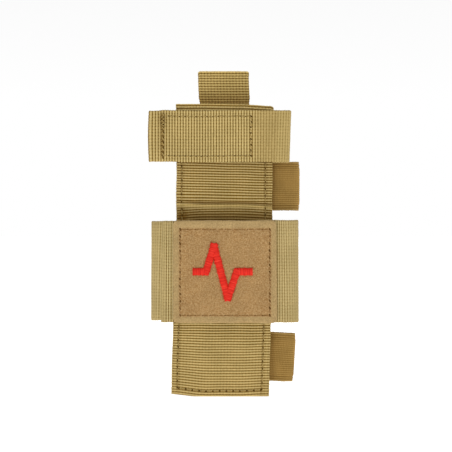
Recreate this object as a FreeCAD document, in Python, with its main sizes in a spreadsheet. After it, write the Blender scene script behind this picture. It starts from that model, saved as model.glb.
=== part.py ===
"""Empty tourniquet holder of sewn webbing, modelled as separate pieces.

Frame: +X is the wearer's right as seen from the front, -Y is the front, +Z is up.
The origin is the centre of the belt channel, the gap inside the two mounting straps,
at half the height of the carrier panel. Lengths are in millimetres.
"""
import FreeCAD, Part
import math
import os
import re
import Sketcher

Vector = FreeCAD.Vector
doc = FreeCAD.newDocument("TourniquetHolder")

DRIVING = {
    "web_thickness": 1.2,
    "layer_gap": 0.1,
    "strap_width": 25.4,
    "tape_thickness": 0.8,
    "tape_width": 23.0,
    "carrier_width": 49.0,
    "carrier_height": 148.8,
    "channel_gap": 5.0,
    "thread_height": 0.3,
    "thread_width": 0.7,
    "stitch_length": 2.4,
    "stitch_pitch": 3.5,
    "seam_inset": 3.2,
    "side_seam_bottom_margin": 1.0,
    "side_seam_top_margin": 4.0,
    "strap_clearance": 1.0,
    "box_seam_size": 19.0,
    "sleeve_width": 74.8,
    "sleeve_height": 51.4,
    "sleeve_centre_z": -10.9,
    "sleeve_panel_width": 64.0,
    "sleeve_plane_y": -14.8,
    "sleeve_fold_radius": 4.4,
    "sleeve_band_overhang": 2.5,
    "sleeve_join_gap": 0.3,
    "label_width": 53.0,
    "label_height": 52.0,
    "label_thickness": 1.2,
    "label_seam_width": 45.4,
    "label_seam_height": 44.2,
    "emblem_stroke": 3.2,
    "emblem_thickness": 0.8,
    "emblem_bend_margin": 0.1,
    "retention_centre_z": 57.8,
    "retention_plane_y": -17.2,
    "retention_hinge_x": 20.05,
    "retention_left_x": -38.5,
    "retention_right_x": 33.4,
    "retention_back_bend": 3.2,
    "retention_front_bend": 4.5,
    "shoulder_x": 24.0,
    "shoulder_rise": 2.6,
    "shoulder_bend": 12.0,
    "under_strap_plane_y": -14.0,
    "under_strap_left_x": -35.0,
    "under_strap_end_x": 12.0,
    "under_strap_bend": 4.0,
    "grip_length": 8.0,
    "grip_row_offset": 1.6,
    "grip_row_margin": 1.5,
    "grip_row_gap": 0.6,
    "patch_left_margin": 1.0,
    "patch_right_margin": 0.5,
    "flap_seam_width": 45.2,
    "flap_seam_height": 20.2,
    "flap_seam_overlap": 1.0,
    "bartack_height": 6.0,
    "bartack_margin": 1.2,
    "bartack_swing": 0.9,
    "bartack_bend": 0.32,
    "bartack_cord_width": 0.42,
    "bartack_cord_height": 0.45,
    "upper_mount_z": 32.8,
    "upper_mount_right_x": 38.1,
    "lower_mount_z": -54.0,
    "lower_mount_right_x": 35.6,
    "mount_left_x": -24.3,
    "mount_hinge_inset": 6.55,
    "mount_step_right_x": -6.0,
    "mount_step_left_x": -12.0,
    "mount_step_bend": 6.0,
    "mount_tail_y": 0.1,
    "mount_tape_margin": 0.5,
    "mount_tape_length": 10.5,
    "root_seam_left_x": 2.0,
    "tail_seam_margin": 1.8,
    "tail_seam_width": 7.8,
    "pull_loop_top_z": 91.0,
    "pull_loop_hinge_z": 76.2,
    "pull_loop_anchor_bottom_z": 50.0,
    "pull_loop_anchor_top_z": 74.7,
    "pull_loop_seam_margin": 2.5,
    "hinge_gap": 0.15,
}

NO_LENGTH = 1e-6
BARTACK_TURNS = 7
EMBLEM_TRACE = [(-15.5, 0), (-8.6, 0), (-4.2, 17.5), (2.8, -17.5), (7.4, 0), (15.5, 0)]


def make_sheet():
    """Put the driving dimensions in a spreadsheet, one aliased cell each."""
    table = doc.addObject("Spreadsheet::Sheet", "Dims")
    for row, (alias, number) in enumerate(DRIVING.items(), start=1):
        table.set(f"A{row}", alias)
        table.set(f"B{row}", str(number))
        table.setAlias(f"B{row}", alias)
    doc.recompute()
    return table


sheet = make_sheet()


def worth(formula):
    """Value of a formula of sheet cells, written with bare alias names."""
    return float(sheet.evalExpression(formula))


def linked(formula):
    """The same formula with every alias pointing at the sheet, for setExpression."""
    return re.sub("[a-z_]+", lambda word: f"Dims.{word[0]}" if word[0] in DRIVING else word[0], formula)


# Levels of the layers, from the belt channel forward. Front faces have the lower y.
ROOT_BACK = "-channel_gap / 2"
ROOT_FRONT = f"({ROOT_BACK} - web_thickness)"
BACK_LAYER_BACK = f"({ROOT_FRONT} - layer_gap)"
BACK_LAYER_FRONT = f"({BACK_LAYER_BACK} - web_thickness)"
BAND_BACK = f"({BACK_LAYER_FRONT} - layer_gap)"
BAND_MIDDLE = f"({BAND_BACK} - web_thickness / 2)"
BAND_FRONT = f"({BAND_BACK} - web_thickness)"
FRONT_LAYER_BACK = f"({BAND_FRONT} - layer_gap)"
CARRIER_FRONT = f"({FRONT_LAYER_BACK} - web_thickness)"
CARRIER_TOP = "(carrier_height / 2)"
CARRIER_BOTTOM = "(-carrier_height / 2)"


def origin_plane(body, role):
    """Origin plane of a body, such as XZ_Plane."""
    return next(item for item in body.Origin.OriginFeatures if item.Role == role)


def new_body(label):
    """Empty body whose label names the sub-part."""
    body = doc.addObject("PartDesign::Body", label)
    body.Label = label
    return body


def new_sketch(body, role, name, offset=0.0):
    """Sketch on an origin plane of its body, moved along the plane's normal."""
    sketch = body.newObject("Sketcher::SketchObject", name)
    sketch.AttachmentSupport = [(origin_plane(body, role), "")]
    sketch.MapMode = "FlatFace"
    sketch.AttachmentOffset = FreeCAD.Placement(Vector(0, 0, offset), FreeCAD.Rotation())
    return sketch


def pad_sketch(body, sketch, name, depth, backwards=False):
    """Pad a sketch by a depth given as a formula of sheet cells."""
    pad = body.newObject("PartDesign::Pad", name)
    pad.Profile = sketch
    pad.Reversed = backwards
    pad.setExpression("Length", linked(depth))
    return pad


def place(piece, x="0", y="0", z="0"):
    """Bind a sub-part's placement to formulas of sheet cells."""
    piece.setExpression(".Placement.Base.x", linked(x))
    piece.setExpression(".Placement.Base.y", linked(y))
    piece.setExpression(".Placement.Base.z", linked(z))


def centreline(points):
    """Straight runs and tangent arcs of a path of (u, v, bend radius) points."""
    corners = [Vector(u, v, 0) for u, v, _ in points]
    pieces = []
    start = corners[0]
    for index in range(1, len(points) - 1):
        here = corners[index]
        before = (here - corners[index - 1]).normalize()
        after = (corners[index + 1] - here).normalize()
        turn = before.x * after.y - before.y * after.x
        side = 1 if turn > 0 else -1
        half_turn = before.getAngle(after) / 2
        radius = points[index][2]
        reach = radius * math.tan(half_turn)
        arc_start = here - before * reach
        arc_end = here + after * reach
        normal = Vector(-before.y, before.x, 0) * side
        centre = arc_start + normal * radius
        pieces.append(("run", start, arc_start, None, 0))
        pieces.append(("arc", arc_start, arc_end, centre, side))
        start = arc_end
    pieces.append(("run", start, corners[-1], None, 0))
    return pieces


def shifted(piece, shift):
    """One edge of a path moved to its left by a distance, or None if it has no length."""
    kind, start, end, centre, side = piece
    if kind == "run":
        if (end - start).Length < NO_LENGTH:
            return None
        along = (end - start).normalize()
        step = Vector(-along.y, along.x, 0) * shift
        return Part.LineSegment(start + step, end + step)
    radius = (start - centre).Length
    scale = (radius - side * shift) / radius
    moved_start = centre + (start - centre) * scale
    moved_end = centre + (end - centre) * scale
    middle = (start + end) * 0.5 - centre
    moved_middle = centre + middle.normalize() * radius * scale
    return Part.Arc(moved_start, moved_middle, moved_end)


def outline(points, thickness):
    """Closed outline of a strip of even thickness along a path."""
    pieces = centreline(points)
    half = thickness / 2
    left = [edge for edge in (shifted(piece, half) for piece in pieces) if edge]
    right = [edge for edge in (shifted(piece, -half) for piece in pieces) if edge]
    start_cap = Part.LineSegment(right[0].StartPoint, left[0].StartPoint)
    end_cap = Part.LineSegment(left[-1].EndPoint, right[-1].EndPoint)
    return left + right + [start_cap, end_cap]


def strip(label, role, points, thickness, depth, x="0", y="0", z="0"):
    """Body swept from a path on an origin plane: a strap, a stroke or a folded panel."""
    body = new_body(label)
    sketch = new_sketch(body, role, f"{label}_profile")
    for edge in outline(points, worth(thickness)):
        sketch.addGeometry(edge)
    pad_sketch(body, sketch, f"{label}_pad", depth)
    place(body, x, y, z)
    return body


def slab(label, x, y, z, length, width, height):
    """Flat rectangular piece, bound to the sheet in size and place."""
    box = doc.addObject("Part::Box", label)
    box.Label = label
    box.setExpression("Length", linked(length))
    box.setExpression("Width", linked(width))
    box.setExpression("Height", linked(height))
    place(box, x, y, z)
    return box


def stitch_rectangle(sketch, u, v, along_u):
    """Constrained outline of one stitch with its lower left corner at (u, v)."""
    length = worth("stitch_length")
    width = worth("thread_width")
    size_u, size_v = (length, width) if along_u else (width, length)
    corners = [
        Vector(u, v, 0),
        Vector(u + size_u, v, 0),
        Vector(u + size_u, v + size_v, 0),
        Vector(u, v + size_v, 0),
    ]
    for index in range(4):
        sketch.addGeometry(Part.LineSegment(corners[index], corners[(index + 1) % 4]))
    for index in range(4):
        sketch.addConstraint(Sketcher.Constraint("Coincident", index, 2, (index + 1) % 4, 1))
        direction = "Horizontal" if index % 2 == 0 else "Vertical"
        sketch.addConstraint(Sketcher.Constraint(direction, index))
    sizes = (
        ("DistanceX", 0, size_u, "stitch_length" if along_u else "thread_width"),
        ("DistanceY", 1, size_v, "thread_width" if along_u else "stitch_length"),
    )
    for kind, edge, size, alias in sizes:
        datum = sketch.addConstraint(Sketcher.Constraint(kind, edge, 1, edge, 2, size))
        sketch.renameConstraint(datum, alias)
        sketch.setExpression(f"Constraints.{alias}", linked(alias))
    sketch.addConstraint(Sketcher.Constraint("DistanceX", -1, 1, 0, 1, u))
    sketch.addConstraint(Sketcher.Constraint("DistanceY", -1, 1, 0, 1, v))


class Row:
    """A straight row of stitches on a face that looks along +Y or -Y."""

    def __init__(self, x, z, run, along_x, face_y, facing_back=False):
        self.x = x
        self.z = z
        self.run = run
        self.along_x = along_x
        self.face_y = face_y
        self.facing_back = facing_back


def seam(label, rows):
    """Group of stitches, each its own solid, in rows that lie on the fabric's faces."""
    body = new_body(label)
    pitch = worth("stitch_pitch")
    length = worth("stitch_length")
    for number, row in enumerate(rows, start=1):
        count = int((row.run - length) // pitch) + 1
        slack = (row.run - length - (count - 1) * pitch) / 2
        start_x = row.x + (slack if row.along_x else -worth("thread_width") / 2)
        start_z = row.z + (-worth("thread_width") / 2 if row.along_x else slack)
        sketch = new_sketch(body, "XZ_Plane", f"{label}_stitch_{number}", -row.face_y)
        stitch_rectangle(sketch, start_x, start_z, row.along_x)
        pad = pad_sketch(body, sketch, f"{label}_pad_{number}", "thread_height", row.facing_back)
        doc.recompute()
        pattern = body.newObject("PartDesign::LinearPattern", f"{label}_row_{number}")
        pattern.Originals = [pad]
        role = "X_Axis" if row.along_x else "Z_Axis"
        pattern.Direction = (origin_plane(body, role), [""])
        pattern.Occurrences = count
        pattern.setExpression("Length", linked(f"stitch_pitch * {count - 1}"))
        body.Tip = pattern
        doc.recompute()
    place(body)
    return body


def box_rows(left, right, bottom, top, face_y, facing_back=False):
    """The four rows of a rectangle of stitches, clear of each other at the corners."""
    clear = worth("thread_width")
    across = right - left
    upward = top - bottom - 2 * clear
    return [
        Row(left, bottom, across, True, face_y, facing_back),
        Row(left, top, across, True, face_y, facing_back),
        Row(left, bottom + clear, upward, False, face_y, facing_back),
        Row(right, bottom + clear, upward, False, face_y, facing_back),
    ]


def make_carrier():
    """Main panel: 2 inch webbing folded over at the top, open at the bottom."""
    front = worth(f"{CARRIER_FRONT} + web_thickness / 2")
    back = worth(f"{BACK_LAYER_BACK} - web_thickness / 2")
    top = worth(f"{CARRIER_TOP} - web_thickness / 2")
    bottom = worth(CARRIER_BOTTOM)
    fold = (back - front) / 2
    path = [(front, bottom, 0), (front, top, fold), (back, top, fold), (back, bottom, 0)]
    strip("carrier_webbing", "YZ_Plane", path, "web_thickness", "carrier_width",
          x="-carrier_width / 2")


def strap_span(centre_alias):
    """Bottom and top of a strap, widened by the clearance its neighbours keep."""
    centre = worth(centre_alias)
    half = worth("strap_width / 2 + strap_clearance")
    return centre - half, centre + half


def side_seam(label, x):
    """Seam down one side: a full row in front and, behind, a row broken at each strap."""
    bottom = worth(f"{CARRIER_BOTTOM} + side_seam_bottom_margin")
    top = worth(f"{CARRIER_TOP} - side_seam_top_margin")
    front = worth(CARRIER_FRONT)
    back = worth(BACK_LAYER_BACK)
    lower = strap_span("lower_mount_z")
    upper = strap_span("upper_mount_z")
    rows = [Row(x, bottom, top - bottom, False, front)]
    for start, end in ((bottom, lower[0]), (lower[1], upper[0]), (upper[1], top)):
        rows.append(Row(x, start, end - start, False, back, True))
    seam(label, rows)


def make_carrier_seams():
    """Side seams and hem seam of the main panel."""
    inset = worth("carrier_width / 2 - seam_inset")
    side_seam("carrier_seam_left", -inset)
    side_seam("carrier_seam_right", inset)
    hem = worth(f"{CARRIER_BOTTOM} + seam_inset")
    clear = 2 * worth("thread_width")
    run = 2 * (inset - clear)
    rows = [
        Row(clear - inset, hem, run, True, worth(CARRIER_FRONT)),
        Row(clear - inset, hem, run, True, worth(BACK_LAYER_BACK), True),
    ]
    seam("carrier_hem_seam", rows)


def make_sleeve():
    """Sleeve: a band through the carrier, a soft fold at each side and a front panel."""
    bottom = "(sleeve_centre_z - sleeve_height / 2)"
    band_half = "(carrier_width / 2 + sleeve_band_overhang)"
    slab("sleeve_band", f"-{band_half}", BAND_FRONT, bottom,
         f"2 * {band_half}", "web_thickness", "sleeve_height")
    outer = worth("sleeve_width / 2 - web_thickness / 2")
    inner = worth(f"{band_half} + sleeve_join_gap")
    panel_edge = worth("sleeve_panel_width / 2 + sleeve_join_gap")
    band_y = worth(BAND_MIDDLE)
    front_y = worth("sleeve_plane_y")
    radius = worth("sleeve_fold_radius")
    for label, side in (("sleeve_gusset_left", -1), ("sleeve_gusset_right", 1)):
        path = [
            (side * inner, band_y, 0),
            (side * outer, band_y, radius),
            (side * outer, front_y, radius),
            (side * panel_edge, front_y, 0),
        ]
        strip(label, "XY_Plane", path, "web_thickness", "sleeve_height", z=bottom)
    slab("sleeve_front", "-sleeve_panel_width / 2", "sleeve_plane_y - web_thickness / 2", bottom,
         "sleeve_panel_width", "web_thickness", "sleeve_height")


LABEL_BACK = "(sleeve_plane_y - web_thickness / 2 - layer_gap)"
LABEL_FRONT = f"({LABEL_BACK} - label_thickness)"


def make_label():
    """Felt label on the sleeve, its square seam and its embroidered pulse trace."""
    slab("label_patch", "-label_width / 2", LABEL_FRONT, "sleeve_centre_z - label_height / 2",
         "label_width", "label_thickness", "label_height")
    half_width = worth("label_seam_width / 2")
    half_height = worth("label_seam_height / 2")
    middle = worth("sleeve_centre_z")
    rows = box_rows(-half_width, half_width, middle - half_height, middle + half_height,
                    worth(LABEL_FRONT))
    seam("label_stitching", rows)
    bend = worth("emblem_stroke / 2 + emblem_bend_margin")
    path = [(u, v, bend) for u, v in EMBLEM_TRACE]
    strip("label_emblem", "XZ_Plane", path, "emblem_stroke", "emblem_thickness",
          y=LABEL_FRONT, z="sleeve_centre_z")


RETENTION_BOTTOM = "(retention_centre_z - strap_width / 2)"
FLAP_BACK = "(retention_plane_y + web_thickness / 2)"
FLAP_FRONT = "(retention_plane_y - web_thickness / 2)"


def make_retention_band():
    """One strap: under strap in front, left fold, run inside the carrier, right curve."""
    under_y = worth("under_strap_plane_y")
    band_y = worth(BAND_MIDDLE)
    flap_y = worth("retention_plane_y")
    left = worth("under_strap_left_x + web_thickness / 2")
    right = worth("retention_right_x - web_thickness / 2")
    end = worth("retention_hinge_x + hinge_gap")
    left_bend = worth("under_strap_bend")
    shoulder = (worth("shoulder_x"), flap_y, worth("shoulder_bend"))
    path = [
        (worth("under_strap_end_x"), under_y, 0),
        (left, under_y, left_bend),
        (left, band_y, left_bend),
        (right, band_y, worth("retention_back_bend")),
        (right, flap_y + worth("shoulder_rise"), worth("retention_front_bend")),
        shoulder,
        (end, flap_y, 0),
    ]
    strip("retention_band", "XY_Plane", path, "web_thickness", "strap_width", z=RETENTION_BOTTOM)


def make_retention_patches():
    """Loop patch on the under strap and hook patch on the back of the flap."""
    patch_left = "(retention_left_x + grip_length + patch_left_margin)"
    patch_right = "(under_strap_end_x - patch_right_margin)"
    patch_bottom = "(retention_centre_z - tape_width / 2)"
    length = f"{patch_right} - {patch_left}"
    under_front = "(under_strap_plane_y - web_thickness / 2)"
    slab("retention_loop_patch", patch_left, f"{under_front} - layer_gap / 2 - tape_thickness",
         patch_bottom, length, "tape_thickness", "tape_width")
    slab("retention_hook_patch", patch_left, f"{FLAP_BACK} + layer_gap / 2", patch_bottom,
         length, "tape_thickness", "tape_width")


def make_retention_flap():
    """Free flap of the retention strap, its end folded under as a grip."""
    flap_y = worth("retention_plane_y")
    left = worth("retention_left_x + web_thickness / 2")
    grip_end = worth("retention_left_x + grip_length")
    layer_step = worth("web_thickness + 3 * layer_gap")
    fold = layer_step / 2
    path = [
        (worth("retention_hinge_x - hinge_gap"), flap_y, 0),
        (left, flap_y, fold),
        (left, flap_y + layer_step, fold),
        (grip_end, flap_y + layer_step, 0),
    ]
    strip("retention_flap", "XY_Plane", path, "web_thickness", "strap_width", z=RETENTION_BOTTOM)


def make_flap_stitching():
    """Box seam over the hook patch, row across the grip and the bartack above it."""
    front = worth(FLAP_FRONT)
    middle = worth("retention_centre_z")
    half_height = worth("flap_seam_height / 2")
    left = worth("retention_left_x + grip_length - flap_seam_overlap")
    right = left + worth("flap_seam_width")
    rows = box_rows(left, right, middle - half_height, middle + half_height, front)
    seam("flap_box_stitching", rows)
    grip_x = left - worth("grip_row_offset")
    bartack_bottom = middle + worth("strap_width / 2 - bartack_height - bartack_margin")
    grip_bottom = middle - worth("strap_width / 2 - grip_row_margin")
    grip_run = bartack_bottom - grip_bottom - worth("grip_row_gap")
    seam("flap_grip_stitching", [Row(grip_x, grip_bottom, grip_run, False, front)])
    rise = worth("bartack_height") / BARTACK_TURNS
    swing = worth("bartack_swing")
    bend = worth("bartack_bend")
    path = []
    for index in range(BARTACK_TURNS + 1):
        side = swing if index % 2 else -swing
        path.append((grip_x + side, bartack_bottom + rise * index, bend))
    strip("flap_bartack", "XZ_Plane", path, "bartack_cord_width", "bartack_cord_height",
          y=FLAP_FRONT)


LOOP_FRONT_LEG = "(channel_gap / -2 - web_thickness / 2)"
LOOP_REAR_LEG = f"({LOOP_FRONT_LEG} + web_thickness + layer_gap)"


def make_pull_loop():
    """Pull loop: two legs sewn on the carrier's back, and the loop that flexes above them."""
    height = "pull_loop_anchor_top_z - pull_loop_anchor_bottom_z"
    legs = []
    for number, level in enumerate((LOOP_FRONT_LEG, LOOP_REAR_LEG), start=1):
        leg = slab(f"pull_loop_leg_{number}", "-strap_width / 2", f"{level} - web_thickness / 2",
                   "pull_loop_anchor_bottom_z", "strap_width", "web_thickness", height)
        legs.append(leg)
    anchor = doc.addObject("Part::Compound", "pull_loop_anchor")
    anchor.Label = "pull_loop_anchor"
    anchor.Links = legs
    front_leg = worth(LOOP_FRONT_LEG)
    rear_leg = worth(LOOP_REAR_LEG)
    top = worth("pull_loop_top_z - web_thickness / 2")
    hinge = worth("pull_loop_hinge_z")
    fold = (rear_leg - front_leg) / 2
    path = [
        (front_leg, hinge, 0),
        (front_leg, top, fold),
        (rear_leg, top, fold),
        (rear_leg, hinge, 0),
    ]
    loop = strip("pull_loop_fold", "YZ_Plane", path, "web_thickness", "strap_width",
                 x="-strap_width / 2")
    root = doc.addObject("Part::Cylinder", "pull_loop_bend")
    root.setExpression("Radius", linked("web_thickness + layer_gap / 2"))
    root.setExpression("Height", linked("strap_width"))
    root.Placement = FreeCAD.Placement(Vector(0, 0, 0), FreeCAD.Rotation(Vector(0, 1, 0), 90))
    place(root, "-strap_width / 2", f"({LOOP_FRONT_LEG} + {LOOP_REAR_LEG}) / 2", "pull_loop_hinge_z")
    joined = doc.addObject("Part::MultiFuse", "pull_loop")
    joined.Label = "pull_loop"
    joined.Shapes = [loop, root]
    joined.Refine = True
    rear_face = rear_leg + worth("web_thickness / 2")
    bottom = worth("pull_loop_anchor_bottom_z + pull_loop_seam_margin")
    size = worth("box_seam_size")
    rows = box_rows(-size / 2, size / 2, bottom, bottom + size, rear_face, True)
    seam("pull_loop_stitching", rows)


def make_mounting_strap(name, centre_alias, right_alias):
    """Mounting strap: sewn root with its right fold, and a flap that closes over the channel."""
    bottom = f"({centre_alias} - strap_width / 2)"
    tape_bottom = f"({centre_alias} - tape_width / 2)"
    bend = worth("channel_gap / 2 + web_thickness / 2")
    left = worth("mount_left_x")
    turn_x = worth(f"{right_alias} - web_thickness / 2")
    hinge_x = worth(f"{right_alias} - mount_hinge_inset")
    gap = worth("hinge_gap")
    root_path = [
        (left, -bend, 0),
        (turn_x, -bend, bend),
        (turn_x, bend, bend),
        (hinge_x + gap, bend, 0),
    ]
    strip(f"{name}_root", "XY_Plane", root_path, "web_thickness", "strap_width", z=bottom)
    tail_y = worth("mount_tail_y")
    step_bend = worth("mount_step_bend")
    flap_path = [
        (hinge_x - gap, bend, 0),
        (worth("mount_step_right_x"), bend, step_bend),
        (worth("mount_step_left_x"), tail_y, step_bend),
        (left, tail_y, 0),
    ]
    strip(f"{name}_flap", "XY_Plane", flap_path, "web_thickness", "strap_width", z=bottom)
    tape_left = "(mount_left_x + mount_tape_margin)"
    hook_y = "mount_tail_y - web_thickness / 2 - layer_gap / 2 - tape_thickness"
    for label, level in (("loop_tape", f"{ROOT_BACK} + layer_gap / 2"), ("hook_tape", hook_y)):
        slab(f"{name}_{label}", tape_left, level, tape_bottom,
             "mount_tape_length", "tape_thickness", "tape_width")
    size = worth("box_seam_size")
    low = worth(centre_alias) - size / 2
    root_left = worth("root_seam_left_x")
    root_rows = box_rows(root_left, root_left + size, low, low + size, worth(ROOT_BACK), True)
    seam(f"{name}_root_stitching", root_rows)
    tail_left = left + worth("tail_seam_margin")
    tail_right = tail_left + worth("tail_seam_width")
    tail_face = tail_y + worth("web_thickness / 2")
    tail_rows = box_rows(tail_left, tail_right, low, low + size, tail_face, True)
    seam(f"{name}_flap_stitching", tail_rows)


SUB_PARTS = [
    "carrier_webbing", "carrier_seam_left", "carrier_seam_right", "carrier_hem_seam",
    "sleeve_band", "sleeve_gusset_left", "sleeve_gusset_right", "sleeve_front",
    "label_patch", "label_stitching", "label_emblem",
    "retention_band", "retention_loop_patch", "retention_hook_patch", "retention_flap",
    "flap_box_stitching", "flap_grip_stitching", "flap_bartack",
    "pull_loop_anchor", "pull_loop", "pull_loop_stitching",
]
MOUNT_PIECES = ["root", "flap", "loop_tape", "hook_tape", "root_stitching", "flap_stitching"]
MOUNTING_STRAPS = {
    "upper_mount": ("upper_mount_z", "upper_mount_right_x"),
    "lower_mount": ("lower_mount_z", "lower_mount_right_x"),
}


def check_document():
    """Stop if any object failed, or any sub-part has no valid shape."""
    for item in doc.Objects:
        if "Invalid" in item.State or "Error" in item.State:
            raise RuntimeError(f"{item.Label} failed: {item.State}")
    for item in sub_parts():
        if item.Shape.isNull() or not item.Shape.isValid():
            raise RuntimeError(f"{item.Label} has no valid shape")


def sub_parts():
    """Every document object that is a sub-part."""
    labels = list(SUB_PARTS)
    for name in MOUNTING_STRAPS:
        labels += [f"{name}_{piece}" for piece in MOUNT_PIECES]
    return [doc.getObjectsByLabel(label)[0] for label in labels]


def write_parts():
    """Write each sub-part to a STEP file named after its label."""
    os.makedirs("parts", exist_ok=True)
    for item in sub_parts():
        item.Shape.exportStep(f"parts/{item.Label}.step")
        box = item.Shape.BoundBox
        print(f"{item.Label}: {len(item.Shape.Solids)} solids, {item.Shape.Volume:.1f} mm3, "
              f"x {box.XMin:.1f}..{box.XMax:.1f}, y {box.YMin:.1f}..{box.YMax:.1f}, "
              f"z {box.ZMin:.1f}..{box.ZMax:.1f}")


make_carrier()
make_carrier_seams()
make_sleeve()
make_label()
make_retention_band()
make_retention_patches()
make_retention_flap()
make_flap_stitching()
make_pull_loop()
for strap_name, (strap_centre, strap_right) in MOUNTING_STRAPS.items():
    make_mounting_strap(strap_name, strap_centre, strap_right)
doc.recompute()
check_document()
write_parts()
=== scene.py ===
"""Looks of the webbing tourniquet holder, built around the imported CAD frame.

Lengths in the driving tables are millimetres, because webbing and thread are sold and sewn
in them; every mesh is scaled to metres when it is made. -Y is the front, +Z is up.
"""
import math

import bpy
import numpy as np
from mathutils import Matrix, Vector


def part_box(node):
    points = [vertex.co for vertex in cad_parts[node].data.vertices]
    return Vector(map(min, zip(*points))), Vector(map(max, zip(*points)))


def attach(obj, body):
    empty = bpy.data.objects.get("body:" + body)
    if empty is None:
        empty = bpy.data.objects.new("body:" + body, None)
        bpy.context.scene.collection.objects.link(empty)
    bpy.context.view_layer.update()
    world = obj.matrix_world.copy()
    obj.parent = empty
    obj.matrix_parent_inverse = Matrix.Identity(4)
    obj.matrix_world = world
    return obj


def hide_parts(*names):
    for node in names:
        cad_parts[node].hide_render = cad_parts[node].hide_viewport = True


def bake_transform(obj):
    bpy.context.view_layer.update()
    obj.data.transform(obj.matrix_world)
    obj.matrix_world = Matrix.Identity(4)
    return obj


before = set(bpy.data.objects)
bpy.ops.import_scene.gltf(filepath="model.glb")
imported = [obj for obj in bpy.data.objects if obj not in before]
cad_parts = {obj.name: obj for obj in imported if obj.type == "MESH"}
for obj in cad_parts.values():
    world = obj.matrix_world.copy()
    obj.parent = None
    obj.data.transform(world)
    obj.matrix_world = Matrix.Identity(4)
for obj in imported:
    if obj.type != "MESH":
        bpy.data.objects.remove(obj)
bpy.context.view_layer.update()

MM = 0.001
RNG = np.random.default_rng(41)
FRONT = np.array([0.0, -1.0, 0.0])
BACK = -FRONT

# Webbing: its thickness, the strap width, and the ribs and lengthwise columns of its weave.
WEB = 1.2
STRAP = 25.4
RIB_PITCH = 1.40
RIB_HEIGHT = 0.26
STEP = RIB_PITCH / 4
DOT_PITCH = 1.57
FINE_COLUMN = 0.4
INNER_COLUMN = 3.2
# Mounting tape: the two grooves beside each selvedge, and the pitch of its lengthwise lines.
TAPE = 25.0
TAPE_GROOVES = (9.9, 11.5)
GROOVE_DEPTH = 0.22
TAPE_LINES = 1.05
# Looks: how dark the painted shade of valleys and holes stays where the ribs lie flat, and yarn relief in
# metres.
CALM_VALLEY = 0.42
CALM_HOLES = 0.45
YARN_RELIEF = 0.00012
THREAD_TWIST = 0.45
SATIN_PITCH = 0.55
# Needle holes: half length, half width and height of the lens that stands for one.
HOLE_SIZE = (0.42, 0.3, 0.05)
STITCH_DIVE = 0.45
TACK_PITCH = 0.92
PILE_STEP = 0.5
HOOK_PITCH = 1.15


def node_box(name):
    """Lowest and highest corner of a CAD node, in millimetres."""
    low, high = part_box(name)
    return np.array(low) / MM, np.array(high) / MM


# ---------------------------------------------------------------- paths and noise

FINE_STEP = 0.1


def rounded(points, soften=0.0, step=STEP):
    """Evenly spaced points along a path of (u, v, bend radius) corners, with arcs at the corners."""
    dense = [np.array(points[0][:2], float)]
    corners = [np.array(p[:2], float) for p in points]
    for i in range(1, len(points) - 1):
        before = corners[i] - corners[i - 1]
        after = corners[i + 1] - corners[i]
        before /= np.linalg.norm(before)
        after /= np.linalg.norm(after)
        cross = before[0] * after[1] - before[1] * after[0]
        turn = math.acos(np.clip(before @ after, -1, 1))
        radius = points[i][2]
        start = corners[i] - before * radius * math.tan(turn / 2)
        normal = np.array([-before[1], before[0]]) * np.sign(cross)
        centre = start + normal * radius
        count = max(3, int(turn * radius / FINE_STEP))
        for k in range(count + 1):
            angle = turn * k / count * np.sign(cross)
            spoke = start - centre
            turned = [spoke[0] * math.cos(angle) - spoke[1] * math.sin(angle),
                      spoke[0] * math.sin(angle) + spoke[1] * math.cos(angle)]
            dense.append(centre + turned)
    dense.append(corners[-1])
    return resampled(np.array(dense), step, soften)


def resampled(dense, step, soften=0.0):
    """Even steps along a polyline, optionally smoothed over a distance."""
    fine = spaced(dense, FINE_STEP)
    if soften > 0:
        reach = int(3 * soften / FINE_STEP)
        kernel = np.exp(-0.5 * (np.arange(-reach, reach + 1) * FINE_STEP / soften) ** 2)
        kernel /= kernel.sum()
        head = 2 * fine[0] - fine[1:reach + 1][::-1]
        tail = 2 * fine[-1] - fine[-reach - 1:-1][::-1]
        padded = np.vstack([head, fine, tail])
        fine = np.column_stack([np.convolve(column, kernel, "valid") for column in padded.T])
    return spaced(fine, step)


def lengths_along(line):
    """Distance of each point of a polyline from its start."""
    return np.r_[0, np.cumsum(np.linalg.norm(np.diff(line, axis=0), axis=1))]


def directions(line):
    """Unit direction of a polyline at each of its points."""
    slope = np.gradient(line, axis=0)
    return slope / np.linalg.norm(slope, axis=1)[:, None]


def spaced(line, step):
    """Points at even distances along a polyline."""
    lengths = lengths_along(line)
    count = max(2, int(round(lengths[-1] / step)))
    at = np.linspace(0, lengths[-1], count + 1)
    return np.column_stack([np.interp(at, lengths, column) for column in line.T])


def opened(points):
    """A copy of the points to move, with their x, y and z from before the move."""
    return points.copy(), points[..., 0], points[..., 1], points[..., 2]


def smooth(x):
    """Smoothstep of a value held between 0 and 1."""
    x = np.clip(x, 0, 1)
    return x * x * (3 - 2 * x)


def bell(x, centre, width):
    """Gaussian bump of height 1."""
    return np.exp(-0.5 * ((x - centre) / width) ** 2)


def waves(x, y, scale, seed):
    """Smooth wandering height from a few sines, about -1 to 1, over a plane in millimetres."""
    dice = np.random.default_rng(seed)
    total = np.zeros(np.broadcast(x, y).shape)
    for _ in range(5):
        heading = dice.uniform(0, math.tau)
        size = scale * dice.uniform(0.7, 1.8)
        phase = dice.uniform(0, math.tau)
        total += np.sin((x * math.cos(heading) + y * math.sin(heading)) * math.tau / size + phase)
    return total / 3.5


# ---------------------------------------------------------------- meshes

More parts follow.
